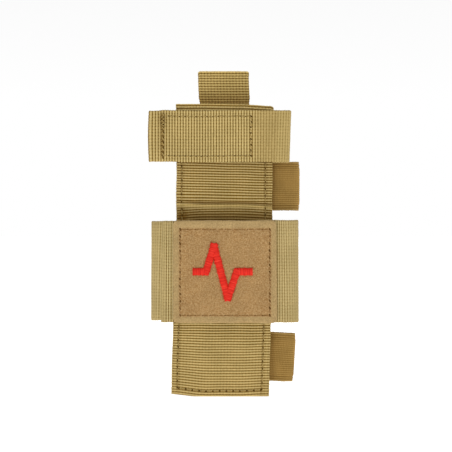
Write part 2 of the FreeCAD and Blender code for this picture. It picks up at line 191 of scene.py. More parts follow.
def make_object(name, verts, faces, material, attributes=None):
    """Mesh object from vertices in millimetres, with optional point attributes."""
    mesh = bpy.data.meshes.new(name)
    mesh.from_pydata((np.asarray(verts) * MM).tolist(), [], faces)
    mesh.validate()
    for label, values in (attributes or {}).items():
        kind = "FLOAT_VECTOR" if np.ndim(values) == 2 else "FLOAT"
        layer = mesh.attributes.new(label, kind, "POINT")
        key = "vector" if kind == "FLOAT_VECTOR" else "value"
        layer.data.foreach_set(key, np.asarray(values, np.float32).ravel())
    mesh.polygons.foreach_set("use_smooth", [True] * len(mesh.polygons))
    mesh.materials.append(material)
    piece = bpy.data.objects.new(name, mesh)
    bpy.context.scene.collection.objects.link(piece)
    return piece


def shifted(faces, base):
    """Faces with their point numbers raised by base."""
    return [tuple(i + base for i in face) for face in faces]


def flipped(faces):
    """Faces turned to look the other way."""
    return [tuple(reversed(face)) for face in faces]


def ring_faces(rows, ring):
    """Quads of a tube of closed rings, with its two end caps."""
    faces = []
    for low in range(0, (rows - 1) * ring, ring):
        high = low + ring
        for c in range(ring):
            d = (c + 1) % ring
            faces.append((low + c, low + d, high + d, high + c))
    faces.append(tuple(range(ring - 1, -1, -1)))
    faces.append(tuple((rows - 1) * ring + c for c in range(ring)))
    return faces


def slab_faces(rows, columns):
    """Faces between two matching grids of points, the outer and the inner, and round their rim."""
    total = rows * columns
    faces = []
    for i in range(rows - 1):
        for j in range(columns - 1):
            a, b = i * columns + j, (i + 1) * columns + j
            faces += [(a, b, b + 1, a + 1), (a + 1 + total, b + 1 + total, b + total, a + total)]
    rim = [i * columns for i in range(rows - 1)] + [total - columns + j for j in range(columns - 1)]
    rim += [(i + 1) * columns - 1 for i in range(rows - 1, 0, -1)] + list(range(columns - 1, 0, -1))
    return faces + [(b, a, a + total, b + total) for a, b in zip(rim, rim[1:] + rim[:1])]


def cross_section(width, column, grooves):
    """Ring of (across, through, side) points round a strap, side being 1 on its outer face."""
    flat = width / 2 - 0.4
    outer_count = int(flat / column)
    inner_count = max(4, int(round(2 * flat / INNER_COLUMN)))
    columns = list(np.arange(-outer_count, outer_count + 1) * column)
    if flat - columns[-1] > 0.15:
        columns = [-flat] + columns + [flat]
    for at in grooves:
        columns = [a for a in columns if abs(a - at) > 0.5] + [at - 0.4, at, at + 0.4]
    edge, shoulder = width / 2 - 0.06, WEB * 0.27
    outer = [(a, WEB / 2, 1.0) for a in sorted(columns)]
    right = [(edge, shoulder, 0.5), (edge, -shoulder, 0.5)]
    inner = [(a, -WEB / 2, 0.0) for a in np.linspace(flat, -flat, inner_count + 1)]
    left = [(-edge, -shoulder, 0.5), (-edge, shoulder, 0.5)]
    return np.array(outer + right + inner + left)


def webbing(name, line, plane, width, middle, material, outer_left=True, warp=None, rib=RIB_HEIGHT,
            pitch=RIB_PITCH, dots=True, seed=1, grooves=(), part=(0, 1), column=DOT_PITCH / 2,
            calm=None, painted_light=None, waft=0.0):
    """Woven strap along a line in the XY or YZ plane: the ribs across it are real relief.

    middle is the strap's centre on the axis that it is wide along, and part the share of the
    line that the piece takes. calm tells where the ribs lie flat, from the line's two
    coordinates and the distance across. warp moves the finished points, and the painted-light
    function gives them painted shade above nought and a painted highlight below it. waft is the pitch of
    fine lengthwise lines, if there are any.
    """
    heading = directions(line)
    normal = np.column_stack([-heading[:, 1], heading[:, 0]]) * (1 if outer_left else -1)
    along = lengths_along(line)
    share = along / along[-1]
    keep = (share >= part[0] - 1e-9) & (share <= part[1] + 1e-9)
    line, normal, along = line[keep], normal[keep], along[keep]
    section = cross_section(width, column, grooves)
    rows, ring = len(line), len(section)
    across, through, side = (np.repeat(section[None, :, i], rows, 0) for i in range(3))
    distance = np.repeat(along[:, None], ring, 1)
    outer, on_face = side == 1, side != 0.5
    crest = np.abs(np.sin(np.pi * (distance / pitch))) ** 0.7
    quiet = np.zeros_like(across) + (calm(line[:, :1], line[:, 1:], across) if calm else 0.0)
    pinch = np.clip(np.cos(math.tau * across / DOT_PITCH), 0, 1) * outer * dots
    relief = rib * (crest - 0.75) - (0.24 * (1 - crest) + 0.07) * pinch
    relief = relief * (1 - 0.8 * quiet)
    relief = relief + 0.035 * waves(distance, across, 5.0, seed)
    relief = relief + 0.02 * RNG.standard_normal(across.shape) * outer
    if waft:
        relief = relief + 0.06 * np.cos(math.tau * across / waft) * outer
    for at in grooves:
        relief = relief - GROOVE_DEPTH * bell(across, at, 0.45) * outer
    through = through + np.sign(through) * np.where(on_face, relief, relief * 0.4)
    scallop = 0.24 * (crest[:, :1] - 0.7) + 0.06 * RNG.standard_normal((rows, 1))
    across = across + np.where(on_face, 0, np.sign(across) * scallop)
    flat = line[:, None, :] + normal[:, None, :] * through[:, :, None]
    parts = [flat[..., 0], flat[..., 1]]
    parts.insert(2 if plane == "XY" else 0, middle + across)
    points = np.stack(parts, axis=-1)
    if warp:
        points = warp(points)
    # painted shade (above nought) and painted highlights (below nought) for each point
    painted_tone = painted_light(points) if painted_light else np.zeros_like(across)
    faces = ring_faces(rows, ring)
    if not outer_left:
        faces = flipped(faces)
    weave = np.stack([across, distance / pitch, side], axis=-1).reshape(-1, 3)
    looks = {"weave": weave, "calm": quiet.ravel(), "painted_light": np.clip(painted_tone, -1, 1).ravel()}
    piece = make_object(name, points.reshape(-1, 3), faces, material, looks)
    sharpen_caps(piece.data, rows, ring)
    return piece


def sharpen_caps(mesh, rows, ring):
    """Mark the rims of a strap's two cut ends sharp, so that its faces shade evenly up to them."""
    edges = np.empty(len(mesh.edges) * 2, np.int32)
    mesh.edges.foreach_get("vertices", edges)
    row = edges.reshape(-1, 2) // ring
    sharp = (row[:, 0] == row[:, 1]) & ((row[:, 0] == 0) | (row[:, 0] == rows - 1))
    layer = mesh.attributes.new("sharp_edge", "BOOLEAN", "EDGE")
    layer.data.foreach_set("value", sharp)


# ---------------------------------------------------------------- materials

def srgb(r, g, b):
    """Linear colour from 0-255 values."""
    def one(v):
        v = v / 255
        return v / 12.92 if v <= 0.04045 else ((v + 0.055) / 1.055) ** 2.4
    return (one(r), one(g), one(b), 1.0)


class Nodes:
    """Small helper for building a material's node tree."""

    def __init__(self, name):
        self.material = bpy.data.materials.new(name)
        self.material.use_nodes = True
        self.tree = self.material.node_tree
        self.tree.nodes.clear()
        out = self.tree.nodes.new("ShaderNodeOutputMaterial")
        self.shader = self.tree.nodes.new("ShaderNodeBsdfPrincipled")
        self.tree.links.new(self.shader.outputs[0], out.inputs[0])

    def set(self, node, inputs):
        """Give each named input of a node its value, or link it to another node's output."""
        for key, value in inputs.items():
            if isinstance(value, bpy.types.NodeSocket):
                self.tree.links.new(value, node.inputs[key])
            else:
                node.inputs[key].default_value = value

    def add(self, kind, inputs, **settings):
        """A new node's outputs."""
        node = self.tree.nodes.new("ShaderNode" + kind)
        for key, value in settings.items():
            setattr(node, key, value)
        self.set(node, inputs)
        return node.outputs

    def math(self, operation, a, b=0.0):
        return self.add("Math", {0: a, 1: b}, operation=operation)[0]

    def times(self, a, b):
        return self.math("MULTIPLY", a, b)

    def plus(self, a, b):
        return self.math("ADD", a, b)

    def wave(self, value, period):
        """Cosine of a value, one turn per period."""
        return self.math("COSINE", self.times(value, math.tau / period))

    def remap(self, value, from_low, from_high, to_low=0.0, to_high=1.0):
        limits = {1: from_low, 2: from_high, 3: to_low, 4: to_high}
        return self.add("MapRange", {0: value, **limits}, interpolation_type="SMOOTHSTEP")[0]

    def mix(self, factor, a, b, blend="MIX"):
        return self.add("Mix", {0: factor, 6: a, 7: b}, data_type="RGBA", blend_type=blend)[2]

    def vary(self, colour, pattern, dark, light):
        """Colour multiplied by a mottle running from dark to light, both plain RGB factors."""
        tone = self.mix(self.remap(pattern, 0.3, 0.7), (*dark, 1), (*light, 1))
        return self.mix(1.0, colour, tone, "MULTIPLY")

    def amount(self, name):
        """A mesh attribute that holds one number for each point."""
        return self.add("Attribute", {}, attribute_name=name)["Fac"]

    def triple(self, name):
        """The three numbers of a mesh attribute that holds a vector for each point."""
        vector = self.add("Attribute", {}, attribute_name=name)["Vector"]
        return self.add("SeparateXYZ", {0: vector})

    def join(self, x, y, z):
        return self.add("CombineXYZ", {0: x, 1: y, 2: z})[0]

    def noise(self, vector, scale, detail=2.0, rough=0.5):
        inputs = {"Vector": vector, "Scale": scale, "Detail": detail, "Roughness": rough}
        return self.add("TexNoise", inputs)["Fac"]

    def place(self):
        return self.add("TexCoord", {})["Object"]

    def bump(self, height, strength, distance):
        bump = self.add("Bump", {"Strength": strength, "Distance": distance, "Height": height})
        self.set(self.shader, {"Normal": bump[0]})

    def finish(self, colour, roughness, sheen=0.0):
        self.set(self.shader, {"Base Color": colour, "Roughness": roughness, "Sheen Weight": sheen,
                               "Sheen Roughness": 0.5, "Sheen Tint": colour, "Specular IOR Level": 0.1})
        return self.material


def with_painted_light(n, colour):
    """Colour with painted shade mixed in where the per-point light attribute is above nought, and a
    painted highlight where it is below.
    """
    painted_light = n.amount("painted_light")
    # the warm brown that paints shade, and the lift that paints highlights
    painted_shade_colour = n.mix(1.0, colour, (0.33, 0.21, 0.03, 1), "MULTIPLY")
    painted_highlight_colour = n.mix(1.0, colour, (1.75, 1.75, 1.7, 1), "MULTIPLY")
    colour = n.mix(n.math("MAXIMUM", painted_light, 0.0), colour, painted_shade_colour)
    return n.mix(n.math("MAXIMUM", n.times(painted_light, -1.0), 0.0), colour, painted_highlight_colour)


def web_material(name, crest, valley, dot, beads=0.16, holes_seen=0.7, spread=(-0.35, 0.8)):
    """Ribbed nylon webbing: light crests, dark valleys with darker holes, fine yarn lines; the dark
    valleys, the darker columns and the holes are painted shade of the weave's small relief.

    beads is how much the lengthwise columns show on the crests, holes_seen how much they
    show in the valleys, and spread where on a rib's cosine the crest turns into the valley.
    """
    n = Nodes(name)
    across, along, _ = n.triple("weave")
    quiet = n.amount("calm")
    ribs = n.wave(along, 1.0)
    column = n.remap(n.wave(across, DOT_PITCH), -0.1, 0.9)
    bare = n.math("SUBTRACT", 1.0, quiet)
    in_valley = n.plus(n.times(n.remap(ribs, *spread), bare), n.times(quiet, CALM_VALLEY))
    in_hole = n.times(n.remap(ribs, 0.0, 1.0), column)
    in_hole = n.times(in_hole, n.math("MAXIMUM", bare, CALM_HOLES))
    streaks = n.noise(n.join(n.times(across, 4.2), n.times(along, 1.1), 0.0), 1.0, 3.0, 0.6)
    blotch = n.noise(n.place(), 90.0, 3.0, 0.55)
    # painted shade: the valley colour in the rib valleys and along the columns, the dot colour in the
    # holes
    colour = n.mix(in_valley, crest, valley)
    colour = n.mix(n.times(column, beads), colour, valley)
    colour = n.mix(n.times(in_hole, holes_seen), colour, dot)
    colour = n.vary(colour, streaks, (0.80, 0.79, 0.77), (1.12, 1.12, 1.12))
    colour = n.vary(colour, blotch, (0.93, 0.93, 0.91), (1.06, 1.06, 1.06))
    n.bump(n.plus(streaks, n.times(blotch, 0.3)), 0.5, YARN_RELIEF)
    # adds the painted shade and painted highlights held for each point
    return n.finish(with_painted_light(n, colour), n.remap(streaks, 0.2, 0.8, 0.92, 0.72), 0.12)


def tape_material(name, base, dark, light):
    """Fine plain-woven backing tape: fine cross lines, finer lengthwise ones, paler selvedges."""
    n = Nodes(name)
    across, along, side = n.triple("weave")
    from_middle = n.math("ABSOLUTE", across)
    lines = n.wave(across, TAPE_LINES)
    picks = n.wave(along, 1.0)
    fibre = n.noise(n.join(n.times(across, 3.0), n.times(along, 1.6), side), 1.0, 3.0, 0.6)
    blotch = n.noise(n.place(), 150.0, 3.0, 0.55)
    edge = n.remap(from_middle, 11.3, 11.9)
    from_pair = n.math("ABSOLUTE", n.math("SUBTRACT", from_middle, 10.65))
    selvedge = n.remap(n.math("ABSOLUTE", n.math("SUBTRACT", from_pair, 0.75)), 0.0, 0.35, 0.7, 0.0)
    colour = n.mix(n.remap(lines, -0.6, 1.0, 0.55, 0.0), base, dark)
    colour = n.mix(n.remap(picks, 0.2, 1.0, 0.0, 0.3), colour, dark)
    colour = n.mix(n.times(edge, 0.5), colour, light)
    colour = n.mix(selvedge, colour, dark)
    colour = n.vary(colour, fibre, (0.82, 0.81, 0.78), (1.14, 1.14, 1.14))
    colour = n.vary(colour, blotch, (0.92, 0.92, 0.9), (1.07, 1.07, 1.07))
    n.bump(n.plus(fibre, n.times(picks, 0.4)), 0.5, YARN_RELIEF)
    # adds the painted shade and painted highlights held for each point
    return n.finish(with_painted_light(n, colour), n.remap(fibre, 0.2, 0.8, 0.9, 0.75), 0.15)


def felt_material(name, base, light, rim_tone):
    """Brushed felt: mottled fibres, with the rim in a tone of its own."""
    n = Nodes(name)
    mottle = n.noise(n.place(), 1300.0, 4.0, 0.7)
    fine = n.noise(n.place(), 3200.0, 3.0, 0.65)
    broad = n.noise(n.place(), 120.0, 2.0, 0.5)
    colour = n.mix(n.remap(mottle, 0.32, 0.68), base, light)
    colour = n.mix(n.times(n.amount("rim"), 0.55), colour, rim_tone)
    colour = n.vary(colour, fine, (0.78, 0.76, 0.74), (1.15, 1.15, 1.15))
    colour = n.vary(colour, broad, (0.94, 0.94, 0.94), (1.05, 1.05, 1.05))
    n.bump(n.plus(mottle, n.times(fine, 0.6)), 0.9, 0.0004)
    return n.finish(colour, n.remap(fine, 0.2, 0.8, 1.0, 0.85), 0.35)


def thread_material(name, base, dark):
    """Twisted sewing thread: dark helical lines between its plies."""
    n = Nodes(name)
    around, along, _ = n.triple("lay")
    helix = n.math("SINE", n.plus(n.times(along, math.tau / THREAD_TWIST), around))
    fibre = n.noise(n.place(), 2500.0, 2.0, 0.6)
    colour = n.mix(n.remap(helix, 0.2, 1.0, 0.0, 0.7), base, dark)
    colour = n.vary(colour, fibre, (0.85, 0.85, 0.85), (1.1, 1.1, 1.1))
    n.bump(n.plus(helix, fibre), 0.35, 0.00008)
    return n.finish(colour, n.remap(fibre, 0.2, 0.8, 0.7, 0.5), 0.1)


def satin_material(name, base, dark, light):
    """Satin stitch: bundles of glossy thread side by side, darker between the bundles."""
    n = Nodes(name)
    across, along, stroke = n.triple("lay")
    bundles = n.noise(n.join(n.times(across, 0.35), n.times(along, 1.5), stroke), 1.0, 3.0, 0.7)
    gaps = n.wave(along, SATIN_PITCH)
    colour = n.mix(n.remap(bundles, 0.35, 0.65), dark, base)
    colour = n.mix(n.remap(bundles, 0.58, 0.75, 0.0, 0.5), colour, light)
    colour = n.mix(n.remap(gaps, 0.5, 1.0, 0.0, 0.35), colour, dark)
    n.bump(n.plus(bundles, n.times(gaps, -0.4)), 0.6, 0.00015)
    return n.finish(colour, n.remap(bundles, 0.2, 0.8, 0.62, 0.45), 0.05)


def hole_material(name, base, deep):
    """Shadowed lining of a needle hole, with loose fibres."""
    n = Nodes(name)
    fibre = n.noise(n.place(), 3000.0, 2.0, 0.6)
    return n.finish(n.mix(n.remap(fibre, 0.3, 0.7), deep, base), n.remap(fibre, 0.2, 0.8, 1.0, 0.9))


# ---------------------------------------------------------------- the frame's sizes

carrier_low, carrier_high = node_box("carrier_webbing")
sleeve_low, sleeve_high = node_box("sleeve_front")
label_low, label_high = node_box("label_patch")
band_low, band_high = node_box("retention_band")
flap_low, flap_high = node_box("retention_flap")
loop_low, loop_high = node_box("pull_loop")
anchor_low, anchor_high = node_box("pull_loop_anchor")
upper_low, upper_high = node_box("upper_mount_root")
lower_low, lower_high = node_box("lower_mount_root")
SLEEVE_MIDDLE = (sleeve_low[2] + sleeve_high[2]) / 2
LABEL_MIDDLE = (label_low[2] + label_high[2]) / 2
FLAP_MIDDLE = (flap_low[2] + flap_high[2]) / 2
BAND_Y = sum(corner[1] for corner in node_box("sleeve_band")) / 2
FLAP_Y = flap_low[1] + WEB / 2

# ---------------------------------------------------------------- the looks

# The second and third colours of each webbing are the painted shade of its rib valleys and of the holes
# between its yarns.
KHAKI = web_material("khaki_webbing", srgb(211, 188, 128), srgb(150, 121, 58), srgb(98, 72, 24))
KHAKI_PANEL = web_material("khaki_panel_webbing", srgb(216, 192, 130), srgb(134, 103, 40),
                           srgb(92, 66, 20), beads=0.12, holes_seen=0.6, spread=(-0.75, 0.7))
KHAKI_SLEEVE = web_material("khaki_sleeve_webbing", srgb(208, 188, 136), srgb(150, 122, 62),
                            srgb(98, 72, 24))
KHAKI_LOOP = web_material("khaki_loop_webbing", srgb(216, 190, 124), srgb(148, 118, 54),
                          srgb(92, 66, 20), beads=0.28, holes_seen=0.9)
KHAKI_TAPE = tape_material("tape_backing", srgb(172, 138, 77), srgb(118, 88, 38), srgb(192, 162, 104))
FELT = felt_material("label_felt", srgb(160, 120, 72), srgb(196, 162, 112), srgb(190, 168, 118))
PILE = felt_material("loop_pile", srgb(128, 102, 56), srgb(160, 134, 82), srgb(160, 134, 82))
HOOKS = felt_material("hook_nylon", srgb(120, 98, 56), srgb(150, 126, 78), srgb(150, 126, 78))
RED = satin_material("red_thread", srgb(250, 62, 46), srgb(214, 36, 26), srgb(255, 112, 92))
SEAM_THREAD = thread_material("seam_thread", srgb(176, 150, 90), srgb(112, 84, 34))
LABEL_THREAD = thread_material("label_thread", srgb(148, 110, 60), srgb(112, 80, 38))
HOLE = hole_material("needle_hole", srgb(114, 86, 34), srgb(84, 62, 22))
LABEL_HOLE = hole_material("label_needle_hole", srgb(124, 88, 44), srgb(98, 68, 30))
GRIP_HOLE = hole_material("grip_needle_hole", srgb(126, 96, 42), srgb(96, 70, 26))


def finish(piece, node_names, body=None):
    """Hide the CAD nodes that a piece replaces, and attach it to the body that it rides on, if one is
    given.
    """
    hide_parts(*node_names)
    if body:
        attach(piece, body)
    return piece


# ---------------------------------------------------------------- main panel

SEAM_LEFT = -21.6
SEAM_RIGHT = 20.9
PINCH_AT = 21.3
CREASE_Z = 24.0


def lean_at(z):
    """Sideways shift of the panel at a height: the lower part leans to the left."""
    return -2.1 * np.clip(-4 - z, 0, None) / 70.4


def fold_height(x, z):
    """Height of a point above the crosswise crease in the panel."""
    return z - CREASE_Z + 0.035 * x - 0.35 * np.sin(x / 7)


def carrier_warp(points):
    """Buckles, pinched seams, the sloping top lip, the crooked hem and the lean of the panel."""
    points, x, y, z = opened(points)
    fold = fold_height(x, z)
    between = 0.3 * smooth((46 - z) / 6) * smooth((z - 14) / 5) + 0.7 * smooth((-34 - z) / 5)
    roll = 1.2 * bell(fold, 0.0, 0.6) - 1.2 * bell(fold, -1.9, 1.0)
    roll = roll + 0.7 * smooth((-3.6 - fold) / 2.0) * (z > 0) - 0.45 * bell(fold, 1.9, 1.2)
    swell = 0.22 * waves(x, z, 30.0, 7)
    sink = between + roll + swell + 0.3 * bell(np.abs(x), PINCH_AT, 0.9)
    points[..., 1] += smooth((-4.9 - y) / 1.2) * np.minimum(sink, 1.2 + 0.1 * np.tanh(sink - 1.2))
    points[..., 2] += 0.9 * (1 - (x / 24.5) ** 2) * bell(z, 18.0, 4.0) - 0.5 * bell(fold, 1.5, 1.5)
    lip = 0.3 * smooth((x + 12) / 21) + 0.7 * smooth((x - 9) / 14) + 0.9 * smooth((x - 22.8) / 2.5) - 0.25
    points[..., 0] += 0.85 * smooth((z - 68) / 5) * smooth((x - 14) / 9)
    points[..., 2] -= lip * smooth((z - 62) / 12)
    points[..., 2] -= 0.024 * x * smooth((z - 20) / 10) * smooth((62 - z) / 12)
    hem = 1.8 * smooth((-x - 6) / 22) + 0.45 * smooth((x - 10) / 14) - 0.75
    points[..., 2] += smooth((-30 - z) / 44) * hem
    points[..., 2] += 0.10 * waves(x * 0.5, z, 9.0, 8)
    points[..., 0] += 0.18 * waves(z, x * 0.0, 16.0, 9) * smooth((np.abs(x) - 18) / 6)
    points[..., 0] += (0.02 * x - 0.12) * smooth((-30 - z) / 6)
    points[..., 0] += lean_at(points[..., 2])
    return points


def carrier_painted_light(points):
    """Painted shade in the crease, in the seam grooves, on the panel above the sleeve and over the upper
    panel, a darker patch at the left seam above the sleeve, and painted highlights on the roll below the
    crease and on the top lip.
    """
    x, y, z = points[..., 0], points[..., 1], points[..., 2]
    fold = fold_height(x, z)
    # painted shade in the pinched seam grooves
    seams = bell(x, SEAM_LEFT + lean_at(z), 0.45) + bell(x, SEAM_RIGHT + lean_at(z), 0.45)
    # painted shade along the crease, painted highlight on the roll just below it
    crease = 0.55 * bell(fold, 0.1, 0.4) - 0.42 * bell(fold, -1.5, 0.7)
    # painted shade on the panel between the crease and the sleeve
    below = 0.47 * smooth((-2.6 - fold) / 4.0) * smooth((z - 5) / 4)
    knot = 0.6 * bell(x, -PINCH_AT, 1.3) * bell(z, 17.5, 2.0)
    # painted shade over the upper panel, stronger higher up
    upper_panel_shade = 0.14 * smooth((z + 4) / 8) + 0.06 * smooth((z - 40) / 5)
    # painted highlight on the top lip
    lip = 0.45 * smooth((z - 70.5) / 1.5) + 0.25 * smooth((z - 73.2) / 0.6)
    return (crease + below + 0.28 * seams + knot + upper_panel_shade) * smooth((-6.0 - y) / 0.6) - lip


def carrier_calm(y, z, across):
    """Where the panel's ribs lie flat: in the crease and, in part, on the lower panel."""
    return (0.7 * bell(z, 22.2, 1.0) + 0.2 * smooth((-40 - z) / 12)) * (y < -5)


def folded_line(front, back, bottom, top):
    """Line of a strap folded over at the top, up in front and down behind."""
    bend = (back - front) / 2
    return rounded([(front, bottom, 0), (front, top, bend), (back, top, bend), (back, bottom, 0)])


def make_carrier():
    """Main panel: one piece of 2 inch webbing folded over at the top."""
    line = folded_line(carrier_low[1] + WEB / 2, carrier_high[1] - WEB / 2, carrier_low[2],
                       carrier_high[2] - WEB / 2)
    piece = webbing("carrier_panel", line, "YZ", carrier_high[0] - carrier_low[0], 0.0, KHAKI_PANEL,
                    warp=carrier_warp, seed=3, pitch=1.33, painted_light=carrier_painted_light, calm=carrier_calm)
    finish(piece, ["carrier_webbing"], "carrier")


# ---------------------------------------------------------------- thread

def tube(path, radius, sides=6):
    """Vertices, faces and lay values of a thread along a path, its ends tapered shut."""
    heading = directions(path)
    one = np.cross(heading, [0.31, 0.17, 0.93])
    one /= np.linalg.norm(one, axis=1)[:, None]
    two = np.cross(heading, one)
    count = len(path)
    from_end = np.minimum(np.arange(count), np.arange(count)[::-1])
    taper = np.where(from_end == 0, 0.35, np.where(from_end == 1, 0.85, 1.0)) * radius
    angle = np.arange(sides) * math.tau / sides
    ring = one[:, None] * np.cos(angle)[:, None] + two[:, None] * np.sin(angle)[:, None]
    verts = path[:, None] + ring * taper[:, None, None]
    lay = np.zeros((count, sides, 3))
    lay[..., 0] = angle
    lay[..., 1] = lengths_along(path)[:, None]
    return verts.reshape(-1, 3), ring_faces(count, sides), lay.reshape(-1, 3)


def lens(centre, out, size, heading, sides=8):
    """Flat dark lens standing for a needle hole, longer along its heading: painted shade inside the hole.
    """
    sideways = np.cross(out, heading)
    rim = []
    for i in range(sides):
        angle = math.tau * i / sides
        rim.append(centre + heading * math.cos(angle) * size[0] + sideways * math.sin(angle) * size[1])
    faces = [(i, (i + 1) % sides, sides) for i in range(sides)]
    faces += [((i + 1) % sides, i, sides + 1) for i in range(sides)]
    return np.array(rim + [centre + out * size[2], centre - out * size[2]]), faces


class Sewing:
    """Collects the stitches and needle holes of one seam into one mesh."""

    def __init__(self, name, radius=0.26, thread=SEAM_THREAD, holes=HOLE):
        self.name = name
        self.materials = (thread, holes)
        self.radius = radius
        self.verts, self.faces, self.lay, self.kinds = [], [], [], []

    def add(self, verts, faces, lay, kind):
        self.faces += shifted(faces, sum(map(len, self.verts)))
        self.verts.append(verts)
        self.lay.append(lay)
        self.kinds += [kind] * len(faces)

    def thread(self, start, end, out, rise=0.16):
        """One stitch lying on the cloth, its ends pulled down into the holes."""
        steps = np.linspace(0, 1, 9)
        arch = (rise + STITCH_DIVE) * np.sin(np.pi * steps) ** 0.5 - STITCH_DIVE
        path = start + (end - start) * steps[:, None] + out * arch[:, None]
        self.add(*tube(path, self.radius * RNG.uniform(0.92, 1.08)), 0)

    def hole(self, centre, out, heading, size):
        verts, faces = lens(centre, out, size, heading)
        self.add(verts, faces, np.zeros((len(verts), 3)), 1)

    def row(self, start, end, out, pitch=3.5, gap=0.75, slant=0.0, warp=None, hole=HOLE_SIZE, lift=0.0,
            rise=0.16):
        """A row of stitches from start to end with a needle hole between each two."""
        start, end = np.array(start, float), np.array(end, float)
        length = np.linalg.norm(end - start)
        count = max(1, int(round(length / pitch)))
        heading = (end - start) / length
        sideways = np.cross(out, heading)
        knots = start + (end - start) * np.linspace(0, 1, count + 1)[:, None]
        knots += sideways * RNG.normal(0, 0.06, (count + 1, 1)) + out * lift
        if warp:
            knots = warp(knots)
        tilt = sideways * slant
        for first, second in zip(knots, knots[1:]):
            inset = (second - first) / np.linalg.norm(second - first) * gap / 2
            self.thread(first + inset - tilt, second - inset + tilt, out, rise)
        for knot in knots:
            self.hole(knot, out, heading + tilt, hole)

    def make(self, node, body):
        """The seam as one piece that stands for a CAD node and rides on a body."""
        piece = make_object(self.name, np.vstack(self.verts), self.faces, self.materials[0],
                            {"lay": np.vstack(self.lay)})
        piece.data.materials.append(self.materials[1])
        piece.data.polygons.foreach_set("material_index", self.kinds)
        finish(piece, [node], body)


def box_seam(sewing, left, right, bottom, top, y, out, **options):
    """Rectangle of stitches on a face at y."""
    corners = [(left, y, bottom), (right, y, bottom), (right, y, top), (left, y, top)]
    for start, end in zip(corners, corners[1:] + corners[:1]):
        sewing.row(start, end, out, **options)


# ---------------------------------------------------------------- panel seams

def make_carrier_seams():
    """Side seams and hem seam, in front and behind, following the panel's buckles."""
    front, back = carrier_low[1] - 0.05, carrier_high[1] + 0.05
    hem = carrier_low[2] + 3.2
    behind = ((hem, lower_low[2] - 1), (lower_high[2] + 1, upper_low[2] - 1), (upper_high[2] + 1, 70))
    for side, x in (("left", SEAM_LEFT), ("right", SEAM_RIGHT)):
        seam = Sewing(f"carrier_seam_{side}_thread")
        seam.row((x, front, hem + 0.4), (x, front, carrier_high[2] - 4), FRONT, warp=carrier_warp,
                 slant=0.12, hole=(0.62, 0.36, 0.06))
        for low, high in behind:
            seam.row((x, back, low), (x, back, high), BACK, warp=carrier_warp, slant=0.12)
        seam.make(f"carrier_seam_{side}", "carrier")
    seam = Sewing("carrier_hem_thread")
    for y, out in ((front, FRONT), (back, BACK)):
        seam.row((-20.6, y, hem), (20.2, y, hem), out, warp=carrier_warp, hole=(0.62, 0.5, 0.07))
    seam.make("carrier_hem_seam", "carrier")


# ---------------------------------------------------------------- sleeve

def sleeve_warp(points):
    """Slight dome, wavy top and bottom edges, and side edges that shift with height."""
    points, x, y, z = opened(points)
    front = smooth((-9 - y) / 4)
    height = (z - SLEEVE_MIDDLE) / 25.7
    points[..., 1] -= front * 0.25 * waves(x, z, 40.0, 11)
    points[..., 2] += height * 0.25 * waves(x, z * 0.2, 22.0, 12)
    points[..., 2] += 0.55 * smooth((x - 5) / 30) * smooth((z - SLEEVE_MIDDLE) / 20)
    left_shift = 0.3 + 0.57 * height + 0.2 * height ** 2
    right_shift = -0.15 - 0.5 * height - 0.1 * height ** 2
    points[..., 0] += front * np.where(x < 0, left_shift, right_shift) * smooth((np.abs(x) - 26) / 8)
    return points


def sleeve_calm(x, y, across):
    """Where the sleeve's ribs lie flat: over the folds and pressed at the left edge."""
    right = 0.35 * smooth((x - 25.5) / 1.5) + 0.45 * smooth((x - 31) / 3)
    edge = 0.85 * smooth((-29.6 - x) / 0.6) * (x > -32.4)
    outer = np.where(x < -34.0, 0.85, 0.45) * (x <= -32.4)
    folds = 0.5 * smooth((np.abs(x) - 35) / 1.5)
    return np.maximum(folds, np.maximum(right, np.maximum(edge, outer)) * smooth((-9 - y) / 3))


def make_sleeve():
    """Sleeve: a hidden band, a left side tucked under the front, and the front with its right fold."""
    half = carrier_high[0]
    front_y = (sleeve_low[1] + sleeve_high[1]) / 2
    height = sleeve_high[2] - sleeve_low[2]
    side = node_box("sleeve_gusset_right")[1][0] - WEB / 2
    bend = 4.4
    hidden = rounded([(-half + 1.4, BAND_Y, 0), (half - 1.4, BAND_Y, 0)])
    band = webbing("sleeve_inner_band", hidden, "XY", height, SLEEVE_MIDDLE, KHAKI,
                   outer_left=False, seed=21)
    finish(band, ["sleeve_band"], "carrier")
    options = dict(warp=sleeve_warp, calm=sleeve_calm, column=FINE_COLUMN)
    left = rounded([(-half + 1.2, BAND_Y, 0), (-side + 0.2, BAND_Y, bend),
                    (-side + 0.2, front_y + 0.5, bend), (-32.5, front_y + 0.5, 3),
                    (-29.0, front_y + 1.35, 0)], 0.7)
    flank = webbing("sleeve_left_side", left, "XY", height - 1.1, SLEEVE_MIDDLE + 0.45, KHAKI_SLEEVE,
                    seed=22, pitch=1.27, **options)
    finish(flank, ["sleeve_gusset_left"])
    wrap = rounded([(-31.9, front_y + 0.25, 0), (-29.5, front_y, 4), (side + 0.5, front_y, bend + 0.4),
                    (side + 0.5, BAND_Y, bend), (half - 1.2, BAND_Y, 0)], 0.8)
    front = webbing("sleeve_front_wrap", wrap, "XY", height, SLEEVE_MIDDLE, KHAKI_SLEEVE,
                    outer_left=False, seed=23, pitch=1.25, **options)
    finish(front, ["sleeve_front", "sleeve_gusset_right"])
    for piece in (flank, front):
        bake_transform(piece)


# ---------------------------------------------------------------- label

LABEL_X = 0.4
LABEL_WIDTH = 53.1
LABEL_HEIGHT = label_high[2] - label_low[2]
LABEL_STEP = 0.45
# The square seam: half its width, half its height, and how far it sits below the middle.
SQUARE_X, SQUARE_Z, SQUARE_DROP = 22.7, 21.75, 0.35
